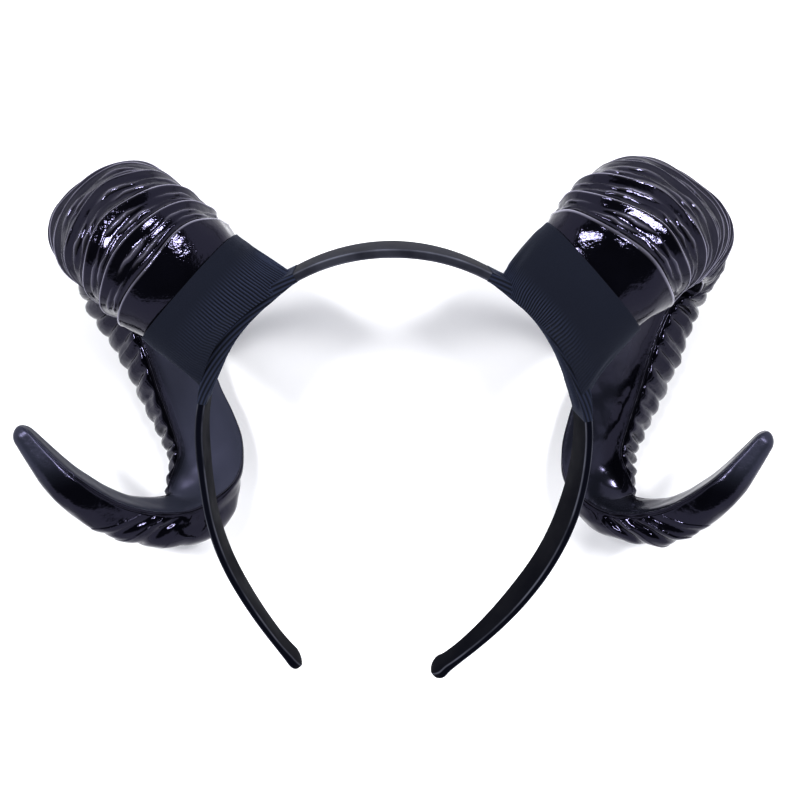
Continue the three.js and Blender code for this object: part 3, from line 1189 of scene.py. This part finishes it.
    def rows(self) -> tuple[np.ndarray, ...]:
        """Chooses the rows along the horn, close together at each ring's lip, with the height of each.

        A ring near the root follows the ring profile. Beyond the top of the curl it is a pillow: one minus
        a power of the distance from the crest. A thin bell-shaped lip runs along each crest, bell-shaped
        wrinkles lie between the first crests, and the first stretch swells up to the first crest.

        Returns:
            Lengths along the ridges in mm, how far the back stands up there, its share of a lip and its
            share of a wrinkle.
        """
        rings = self.rings
        starts = self.ring_starts()
        pitch = np.diff(starts)
        table = np.array(RING_PROFILE)
        share, profile = spline(table, np.linspace(0, len(table) - 1, rings.rows, endpoint=False)).T
        rope_share = 0.5 - 0.5 * np.cos(np.linspace(0, np.pi, rings.rope_rows, endpoint=False))
        near = int(np.sum(starts[:-1] < self.zones.roped.end))
        far = len(pitch) - near
        t = np.concatenate([np.tile(share, near), np.tile(rope_share, far)])
        stepped = np.concatenate([np.tile(profile, near), np.zeros(far * rings.rope_rows)])
        number = np.repeat(np.arange(len(pitch)), [rings.rows] * near + [rings.rope_rows] * far)
        places = starts[number] + pitch[number] * t
        roped = self.zones.roped.rise(places)
        from_crest = np.minimum(t, 1 - t)
        pillow = 1 - (2 * from_crest) ** rings.pillow
        shape = stepped * (1 - roped) + pillow * roped
        fade = 1 + rings.bolder * self.zones.last_bold.rise(places)
        fade = fade * smooth(1 - number / (len(pitch) - 1), 0, rings.dying)
        fade = fade * (1 + rings.varied * np.sin(rings.varied_step * number))
        lip = bell(from_crest * pitch[number], 0, rings.lip_width) * (1 - (1 - rings.rope_lip) * roped)
        height = fade * (rings.relief * (shape - rings.base) + rings.lip * lip)
        wrinkle = sum(bell(t, place, rings.wrinkle_width) for place in WRINKLES) * (1 - roped)
        root = np.linspace(self.root, self.first_ring, rings.root_rows)[:-1]
        risen = rings.root_reach.rise(root - self.first_ring)
        swell = rings.relief * (rings.root_swell * risen - rings.root_sink)
        plain = np.linspace(starts[-1], self.line.length - self.tip_round, rings.plain_rows)[:-1]
        turn = np.linspace(0, self.tip_turn * np.pi, self.tip_rows)
        tip = self.line.length - self.tip_round * (1 - np.sin(turn))
        before, after = np.zeros(len(root)), np.zeros(len(plain) + len(tip))
        return (
            np.concatenate([root, places, plain, tip]),
            np.concatenate([swell, height, after]),
            np.concatenate([before, fade * lip, after]),
            np.concatenate([before, wrinkle, after]),
        )

    def lengths(self, p: np.ndarray, wrinkle: np.ndarray, angle: np.ndarray) -> np.ndarray:
        """Says where along the horn each row runs as it goes round.

        The row at length p runs round the back along p plus a bow, so rings bend towards the tip, and is
        set on at the outer ridge by a skew that dies away along the horn. The bow waves by two slow
        sines, and wrinkles waver by two short ones.

        Args:
            p: the rows' lengths along the ridges, one to a row.
            wrinkle: the rows' shares of a wrinkle, one to a row.
            angle: angles from the flat face's middle, one to a column.

        Returns:
            Lengths along the horn in mm, rows by columns.
        """
        back = np.clip((self.back_from - np.cos(angle)) / (1 + self.back_from), 0, 1)
        begun = smooth(p, self.root, self.first_ring)
        calm = smooth(self.line.length - p, self.tip_round, self.tip_calm)
        bow = self.rings.bow + (self.rings.tip_bow - self.rings.bow) * self.zones.tip_bow.rise(p)
        bent = begun * calm * (bow + waves(BOW_WAVES, angle, p)) * back
        skew = begun * self.skew * self.zones.skew_gone.fall(p) * np.sin(angle)
        return p + bent + wrinkle * waves(WRINKLE_WAVES, angle, p) + skew

    def inner_edge(self, s: np.ndarray) -> np.ndarray:
        """Says how far the inner ridge stands out: it swells round the top and is trimmed beside the rope.

        Args:
            s: lengths along the horn, in mm.

        Returns:
            The extra reach of the inner side, in mm.
        """
        swollen = self.zones.swell_in.rise(s) * self.zones.swell_out.fall(s)
        trimmed = self.zones.trim_in.rise(s) * self.zones.trim_out.fall(s)
        return self.inner_swell * swollen - self.inner_trim * trimmed

    def ringed(self, p: np.ndarray, angle: np.ndarray) -> np.ndarray:
        """Says where the rings are up: not on the flat face, nor on the inner side beside the rope.

        Args:
            p: the rows' lengths along the ridges, one to a row.
            angle: angles from the flat face's middle, one to a column.

        Returns:
            Shares from 0 to 1, rows by columns.
        """
        plain = self.zones.plain_in.rise(p) * self.zones.plain_out.fall(p)
        inner = plain * self.inner_side.fall(np.sin(angle))
        return self.ring_fade.rise(self.past_ridge(angle)) * (1 - inner)

    def pressed(self, s: np.ndarray, angle: np.ndarray) -> np.ndarray:
        """Works out how the back is moved: pressed along the rope, and shifted at the turn before the tip.

        Each move fades with the cosine from the middle of the back to the section's widest points.

        Args:
            s: lengths along the horn, rows by columns.
            angle: angles from the flat face's middle, one to a column.

        Returns:
            Moves outwards and towards the crown in mm, as vectors in the last axis.
        """
        zones = self.zones
        half_way = zones.press_half.rise(s)
        first = zones.press_in.rise(s) * (1 - half_way)
        second = half_way * zones.press_out.fall(s)
        turned = zones.corner_in.rise(s) * zones.corner_out.fall(s)
        out = self.corner[0] * turned - self.press[0] * first - self.press[1] * second
        moves = np.stack([out, self.corner[1] * turned, np.zeros_like(s)], axis=-1)
        return np.clip(-np.cos(angle), 0, 1)[..., None] * moves

    def surface(self) -> Skin:
        """Works out the whole horn on a grid of rows along it and angles round it.

        The section at each length is lifted by the rings, by patchy wrinkles and by a bell-shaped bead on
        each ridge. A bell-shaped groove is cut beside the bead beyond the top of the curl, slow sines leave
        the coat uneven, and the tip closes like a circle.

        Returns:
            The closed surface, marked with where the coat is crinkled, where highlights are painted, and
            where it is satin.
        """
        p, height, crest, wrinkle = (part[:, None] for part in self.rows())
        angle = self.spread(self.columns, *self.usual, self.ridge_points)[None]
        c, d, past = np.cos(angle), np.sin(angle), self.past_ridge(angle)
        s = self.lengths(p, wrinkle, angle)
        centre, _, face, ridge, half, depth = self.line.at(s)
        centre = centre + smooth(s, self.tip_shift_from, self.line.length)[..., None] * (*self.tip_shift, 0.0)
        to_tip = np.clip(self.line.length - s, 0, None)
        close = np.clip(1 - to_tip / self.tip_round, 0, 1)
        rounding = np.sqrt(np.clip(1 - close**2, self.tip_flat**2, 1))
        to_face, to_ridge = self.outline(angle, half * rounding, depth * rounding)
        to_ridge = to_ridge + self.inner_edge(s) * np.minimum(d, 0)
        small = np.minimum(1, half / self.full_half)
        ringed = self.ringed(p, angle)
        beyond = self.zones.beyond_top.rise(p)
        patchy = np.clip(self.rings.patchy + waves(PATCH_WAVES, angle, p), 0, 1)
        bead = self.bead * bell(past, 0, self.bead_width) * small * rounding
        lift = height * ringed * (1 + waves(RING_WAVES, angle, p)) + bead
        lift = lift - self.groove * bell(past, self.groove_at, self.groove_width) * beyond * small
        uneven = self.face_uneven + (1 - self.face_uneven) * self.back_uneven.rise(past)
        lift = lift + waves(COAT_WAVES, angle, s) * uneven * small * self.tip_fade.rise(to_tip)
        raised = patchy - self.rings.wrinkle_base
        lift = lift + self.rings.wrinkle * self.rings.relief * wrinkle * raised * ringed
        points = centre + face * (to_face + c * lift)[..., None] + ridge * (to_ridge + d * lift)[..., None]
        points = points + self.pressed(s, angle)
        wear = self.wear
        comes = wear.crinkle_least + (1 - wear.crinkle_least) * np.sin(s / wear.crinkle_wave) ** 2
        crinkle = bell(past, wear.crinkle_at, wear.crinkle_width) * comes + wear.crinkle_rings * ringed
        # Painted highlights: grey lines along the crests, the wrinkles and the ridge beads, where reflections
        # run.
        highlight_across = wear.back_highlight + (1 - wear.back_highlight) * wear.side_highlight.rise(np.abs(d))
        highlit = crest**wear.crest_power * highlight_across + wear.wrinkle_highlight * wrinkle**wear.line_power * patchy
        painted_light = highlit * ringed + (bead / self.bead) ** wear.line_power * (1 - beyond)
        # Satin, and a lighter grey that is partly dust and partly painted sheen, on the flat faces and at the
        # tip.
        satin = wear.satin_edge.fall(past) * beyond * self.flat_dust_and_sheen
        satin = satin * (1 - smooth(d, self.dust_and_sheen_to - wear.satin_blur, self.dust_and_sheen_to + wear.satin_blur))
        from_tip, whole = (self.line.length - reach for reach in wear.satin_from)
        satin = np.maximum(satin, wear.satin_tip * smooth(p, from_tip, whole))
        marks = {"crinkle": crinkle, "painted_light": painted_light, "satin": satin}
        return Skin(self.placed(points), marks={name: np.clip(m, 0, 1).ravel() for name, m in marks.items()})

    def build(self, material: bpy.types.Material) -> bpy.types.Object:
        """Builds and dresses the horn.

        Args:
            material: the lacquer.

        Returns:
            The horn, riding on the root body in place of its CAD node.
        """
        label = self.side.name.lower()
        piece = make_piece(f"horn_{label}_ringed", [self.surface()])
        piece.data.materials.append(material)
        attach(piece, "root")
        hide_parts(f"horn_{label}")
        return piece


@dataclass
class Wrap:
    """The cloth at one horn's root: a collar up the horn and a sleeve along the hoop, pulled tight.

    Attributes:
        horn: the horn it holds.
        hoop: the hoop it goes round.
        edge: how far the collar reaches up the horn, in mm.
        foot: where the collar tucks in at the hoop.
        flare: how far the collar spreads along the hoop at its foot, towards the crown and towards the end.
        band_to: where the sleeve ends, measured from the crown.
        ribbed: between which shares of the collar's height its ribs are stretched smooth.
        hem: how much further the collar reaches down at its end away from the crown.
        band_from: where the sleeve starts.
        clear: the room between the cloth and what it covers.
        cloth: the cloth's thickness.
        tuck: how far the collar's edge is drawn in on the horn.
        tuck_from: over which shares of its height it is drawn in.
        foot_tuck: how far the collar's foot is drawn in on the hoop.
        foot_from: over which shares of the way down it is drawn in.
        pucker: the height of the soft folds where the cloth is gathered at the collar's two ends.
        pucker_side: towards which sine of the angle they come up.
        pucker_down: over which shares of the way down they come up.
        rib_pitch: the spacing of the ribs.
        rib_height: how far the ribs stand up.
        rib_fade: how far the ribs are stretched out on the side away from the crown.
        fade_side: over which sine of the angle they are.
        rib_columns: columns of points to a rib of the collar.
        girth: the collar's girth, which sets its number of ribs.
        usual: half the width and the depth of the section that the columns are spread on.
        collar_rows: rows of points on each face of the collar.
        edge_rows: rows round its cut edge.
        sleeve_rows: rows of points on each face of the sleeve.
        sleeve_points: how many times as many points the sleeve's section has as the hoop's.
        end_cloth: the share of the cloth's thickness left at the sleeve's ends.
        thin_length: over how much length it thins.
        end_clear: the share of the room left at the sleeve's ends.
        shrink_length: over how much length the room and the ribs die away.
        wind: how the sleeve's ribs wind round the hoop, in ribs to a mm.
        sleeve_smooth: how far the sleeve's ribs are stretched smooth.
        flat: the cloth's width and length before it was pulled round; not used.
    """

    horn: Horn
    hoop: Hoop
    edge: float
    foot: float
    flare: tuple[float, float]
    band_to: float
    ribbed: Stretch
    hem: float = 3.2
    band_from: float = 31.0
    clear: float = 0.2
    cloth: float = 0.75
    tuck: float = 0.55
    tuck_from: Stretch = Stretch(0.75, 1.0)
    foot_tuck: float = 2.2
    foot_from: Stretch = Stretch(0.72, 1.0)
    pucker: float = 0.3
    pucker_side: Stretch = Stretch(0.3, 0.9)
    pucker_down: Stretch = Stretch(0.1, 0.8)
    rib_pitch: float = 1.25
    rib_height: float = 0.46
    rib_fade: float = 0.85
    fade_side: Stretch = Stretch(-0.3, 0.7)
    rib_columns: int = 6
    girth: float = 150.0
    usual: tuple[float, float] = (20.0, 24.0)
    collar_rows: int = 44
    edge_rows: int = 4
    sleeve_rows: int = 64
    sleeve_points: int = 7
    end_cloth: float = 0.12
    thin_length: float = 12.0
    end_clear: float = 0.3
    shrink_length: float = 6.0
    wind: float = 0.12
    sleeve_smooth: float = 0.25
    flat: tuple[float, float] = (70.0, 70.0)

    def ribs(self, turns: np.ndarray) -> np.ndarray:
        """Gives the knit's ribs, from 0 in a groove to 1 on a rib: a raised cosine, once to a turn."""
        return 0.5 + 0.5 * np.cos(2 * np.pi * turns)

    def fold(self) -> tuple[np.ndarray, np.ndarray]:
        """Lays the collar's rows up the outside of the cloth, over its cut edge, and down the inside.

        Returns:
            Each row's share of the way up, and its share of the cloth's thickness.
        """
        up = np.linspace(0, 1, self.collar_rows)
        turn = np.linspace(0, np.pi, self.edge_rows + 2)[1:-1]
        share = np.concatenate([up, np.ones(self.edge_rows), up[::-1]])
        depth = np.concatenate([np.ones_like(up), 0.5 + 0.5 * np.cos(turn), np.zeros_like(up)])
        return share, depth

    def collar(self) -> Skin:
        """Works out the collar: the horn's section, grown by the cloth and flared towards the hoop.

        With q the share of the way down from the edge to the foot, each side of the section spreads along
        the hoop by its flare times q squared, bends down by the hoop's sagitta and by the hem on the side
        away from the crown, and tucks in at the foot. The ribs fade up the collar and away from the crown,
        and the gathered ends pucker by two sines.

        Returns:
            A closed thin shell with ribs up the horn's axis.
        """
        share, outer = (part[:, None] for part in self.fold())
        down = 1 - share
        count = round(self.girth / self.rib_pitch)
        columns = count * self.rib_columns
        angle = self.horn.spread(columns, *self.usual, 0.0)[None]
        c, d = np.cos(angle), np.sin(angle)
        at = self.foot + (self.edge - self.foot) * share
        centre, along, face, ridge, half, depth = self.horn.line.at(at)
        rib = self.ribs(np.linspace(0, count, columns, endpoint=False))[None]
        shown = self.ribbed.fall(share) * (1 - self.rib_fade * self.fade_side.rise(d))
        grow = self.clear + outer * (self.cloth + self.rib_height * (rib - 0.5) * shown)
        grow = grow - self.foot_tuck * self.foot_from.rise(down) * c**2
        grow = grow - self.tuck * self.tuck_from.rise(share)
        gathered = self.pucker_side.rise(np.abs(d)) * self.pucker_down.rise(down)
        grow = grow + self.pucker * waves(FOLD_WAVES, angle, down) * gathered
        to_face, to_ridge = self.horn.outline(angle, half, depth)
        side = to_ridge + d * (grow + np.where(d > 0, self.flare[1], self.flare[0]) * down**2)
        points = centre + face * (to_face + c * grow)[..., None] + ridge * side[..., None]
        sagitta = side**2 / (2 * (LEGS[self.horn.side][0].radius + self.hoop.thickness / 2))
        reach = sagitta + self.hem * np.clip(d, 0, 1) ** 2
        points = points - along * (smooth(down, 0, 1) * reach)[..., None]
        # The rib mark paints light on the rib tops and shade in the grooves.
        marks = {"rib": (rib * outer).ravel(), "stretch": (1 - shown).ravel()}
        return Skin(self.horn.placed(points), ring_shut=True, marks=marks)

    def sleeve(self) -> Skin:
        """Works out the sleeve: the hoop's section grown by the cloth, thinning to its two ends.

        The ribs run along the hoop and wind slowly round it.

        Returns:
            A closed thin shell.
        """
        up = np.linspace(0, 1, self.sleeve_rows)
        s = self.band_from + (self.band_to - self.band_from) * np.concatenate([up, up[::-1]])
        outer = np.concatenate([np.ones_like(up), np.zeros_like(up)])
        to_end = np.minimum(s - self.band_from, self.band_to - s)
        thin = self.end_cloth + (1 - self.end_cloth) * smooth(to_end, 0, self.thin_length)
        shrunk = smooth(to_end, 0, self.shrink_length)
        room = self.clear * (self.end_clear + (1 - self.end_clear) * shrunk)
        section = self.hoop.section(self.horn.side, s, room + outer * self.cloth * thin)
        section = self.refined(np.stack(section, axis=-1))
        girth = np.linalg.norm(np.diff(section, axis=1, append=section[:, :1]), axis=-1)
        around = np.cumsum(girth, axis=1)
        count = np.round(around[:1, -1:] / self.rib_pitch)
        rib = self.ribs(around / around[:, -1:] * count + self.wind * s[:, None])
        lift = (outer * shrunk * self.rib_height)[:, None] * (rib - 0.5)
        section = section + unit(section) * lift[..., None]
        points = self.hoop.rings(self.horn.side, s, section[..., 0], section[..., 1])
        shown = outer[:, None] * np.ones_like(rib)
        # The rib mark paints light on the rib tops and shade in the grooves.
        marks = {"rib": (rib * shown).ravel(), "stretch": (self.sleeve_smooth * shown).ravel()}
        return Skin(points, ring_shut=True, marks=marks)

    def refined(self, section: np.ndarray) -> np.ndarray:
        """Puts more points into a closed section, evenly along its outline.

        Args:
            section: offsets outwards and across, rows by points by two.

        Returns:
            The same section with its points evenly spread.
        """
        shut = np.concatenate([section, section[:, :1]], axis=1)
        lengths = np.linalg.norm(np.diff(shut[0], axis=0), axis=-1)
        total = np.concatenate([[0], np.cumsum(lengths)])
        even = np.linspace(0, total[-1], len(lengths) * self.sleeve_points, endpoint=False)
        index = np.clip(np.searchsorted(total, even, side="right") - 1, 0, len(lengths) - 1)
        share = ((even - total[index]) / np.maximum(lengths[index], SHORTEST))[:, None]
        return shut[:, index] * (1 - share) + shut[:, index + 1] * share

    def build(self, material: bpy.types.Material) -> bpy.types.Object:
        """Builds and dresses the wrap.

        Args:
            material: the jersey.

        Returns:
            The wrap, riding on the root body in place of its CAD node.
        """
        label = self.horn.side.name.lower()
        piece = make_piece(f"wrap_{label}_jersey", [self.collar(), self.sleeve()])
        piece.data.materials.append(material)
        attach(piece, "root")
        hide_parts(f"wrap_{label}")
        return piece


@dataclass(frozen=True)
class Softbox:
    """A soft rectangular lamp aimed at the object.

    Attributes:
        name: its name.
        place: where it stands, in metres.
        width: its width in metres.
        height: its height in metres.
        power: its power in watts.
        aim: the point that it looks at, in metres.
    """

    name: str
    place: tuple[float, float, float]
    width: float
    height: float
    power: float
    aim: tuple[float, float, float] = (0.0, 0.0, 0.05)

    def build(self) -> bpy.types.Object:
        """Builds the lamp, turned towards the object's middle.

        Returns:
            The lamp.
        """
        data = bpy.data.lights.new(self.name, "AREA")
        data.shape = "RECTANGLE"
        data.size, data.size_y, data.energy = self.width, self.height, self.power
        lamp = bpy.data.objects.new(self.name, data)
        bpy.context.scene.collection.objects.link(lamp)
        away = np.array(self.place) - np.array(self.aim)
        flat = math.hypot(away[0], away[1])
        lamp.location = self.place
        lamp.rotation_euler = (math.atan2(flat, away[2]), 0, math.atan2(away[0], -away[1]))
        return lamp


@dataclass
class Studio:
    """The plain pale floor, the soft lamps, the room's light and the camera straight above.

    Attributes:
        floor_size: the floor's side in metres.
        room: the colour of the room's walls.
        ceiling: the colour of its ceiling.
        wall_top: between which angles above the horizon, in degrees, the walls give way to the ceiling.
        room_strength: the strength of the room's light.
        camera_height: the camera's height above the object's own middle plane, in mm.
        focal_px: the camera's focal length in pixels of the frame.
        frame_px: the frame's side in pixels.
        sensor_mm: the sensor's side.
        nearest: the nearest distance that the camera shows, in metres.
        contrast: the picture's gamma; less than one gives deeper blacks, as in the photo.
        lamps: the soft lamps overhead.
    """

    floor_size: float = 6.0
    room: str = "#f2f3f8"
    ceiling: str = "#1c1d24"
    wall_top: tuple[float, float] = (44.0, 52.0)
    room_strength: float = 1.55
    camera_height: float = 415.0
    focal_px: float = 1050.0
    frame_px: float = 800.0
    sensor_mm: float = 36.0
    nearest: float = 0.01
    contrast: float = 0.78
    lamps: tuple[Softbox, ...] = (
        Softbox("left_key", (-0.34, 0.2, 1.0), 0.1, 0.3, 7.0),
        Softbox("right_key", (0.34, 0.2, 1.0), 0.1, 0.3, 7.0),
    )

    def floor(self) -> bpy.types.Object:
        """Builds the floor as a flat sheet at z = 0.

        Returns:
            The floor.
        """
        reach = self.floor_size / 2
        mesh = bpy.data.meshes.new("floor")
        corners = [(-reach, -reach, 0), (reach, -reach, 0), (reach, reach, 0), (-reach, reach, 0)]
        mesh.from_pydata(corners, [], [(0, 1, 2, 3)])
        sheet = bpy.data.objects.new("floor", mesh)
        bpy.context.scene.collection.objects.link(sheet)
        mesh.materials.append(PaleFloor().material())
        return sheet

    def room_light(self) -> None:
        """Lights the room from pale walls all round, under a dark ceiling."""
        world = bpy.data.worlds.new("room")
        world.use_nodes = True
        world.node_tree.nodes.clear()
        way = add_node(world, "ShaderNodeTexCoord").outputs["Generated"]
        height = add_node(world, "ShaderNodeSeparateXYZ", {0: way}).outputs["Z"]
        low, high = (math.sin(math.radians(angle)) for angle in self.wall_top)
        share = add_node(
            world, "ShaderNodeMapRange",
            {"Value": height, "From Min": low, "From Max": high}, interpolation_type="SMOOTHSTEP",
        ).outputs[0]
        colour = add_node(
            world, "ShaderNodeMix",
            {0: share, 6: linear(self.room), 7: linear(self.ceiling)}, data_type="RGBA",
        ).outputs[2]
        light = add_node(
            world, "ShaderNodeBackground", {"Color": colour, "Strength": self.room_strength}
        )
        add_node(world, "ShaderNodeOutputWorld", {"Surface": light.outputs[0]})
        bpy.context.scene.world = world

    def camera(self) -> bpy.types.Object:
        """Sets the camera straight above the object, with +Y up in the picture.

        Returns:
            The camera.
        """
        data = bpy.data.cameras.new("overhead")
        data.sensor_width = self.sensor_mm
        data.lens = self.focal_px / self.frame_px * self.sensor_mm
        data.clip_start = self.nearest
        eye = bpy.data.objects.new("overhead", data)
        bpy.context.scene.collection.objects.link(eye)
        eye.location = (np.array([0, 0, self.camera_height]) + SET_DOWN) * MM
        bpy.context.scene.camera = eye
        return eye

    def build(self) -> None:
        """Builds the floor, the lamps, the room's light and the camera."""
        self.floor()
        for lamp in self.lamps:
            lamp.build()
        self.room_light()
        self.camera()
        bpy.context.scene.view_settings.view_transform = "Standard"
        bpy.context.scene.view_settings.gamma = self.contrast


def main() -> None:
    """Builds the headband's pieces and the studio, in order, and reports each piece."""
    logging.basicConfig(level=logging.INFO, format="%(name)s: %(message)s")
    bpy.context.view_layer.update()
    hoop = Hoop()
    hoop.build(SatinAbs())
    lacquer, jersey = BlackLacquer().material(), RibbedJersey().material()
    left = Horn(Side.LEFT, shift=-0.3, lean=5.3, first_ring=26.0, skew=0.0, tip_shift=(-0.7, 0.7),
                press=(-4.0, 3.0), corner=(-2.5, -0.5), inner_trim=2.5)
    right = Horn(Side.RIGHT, shift=-1.3, lean=3.2, first_ring=32.0, skew=4.0,
                 tip_shift=(-0.4, -1.2), inner_swell=3.0, press=(5.0, 3.0), corner=(1.5, 3.0),
                 flat_dust_and_sheen=0.35, dust_and_sheen_to=0.35, rings=Rings(rope_pitch=6.4))
    wraps = (
        Wrap(left, hoop, edge=22.3, foot=5.5, flare=(5.5, 3.0), band_to=84.0, ribbed=Stretch(0.42, 0.8)),
        Wrap(right, hoop, edge=27.0, foot=7.0, flare=(-2.0, 9.0), band_to=90.0, ribbed=Stretch(0.22, 0.48)),
    )
    for wrap in wraps:
        wrap.horn.build(lacquer)
        wrap.build(jersey)
    Studio().build()


if __name__ == "__main__":
    main()
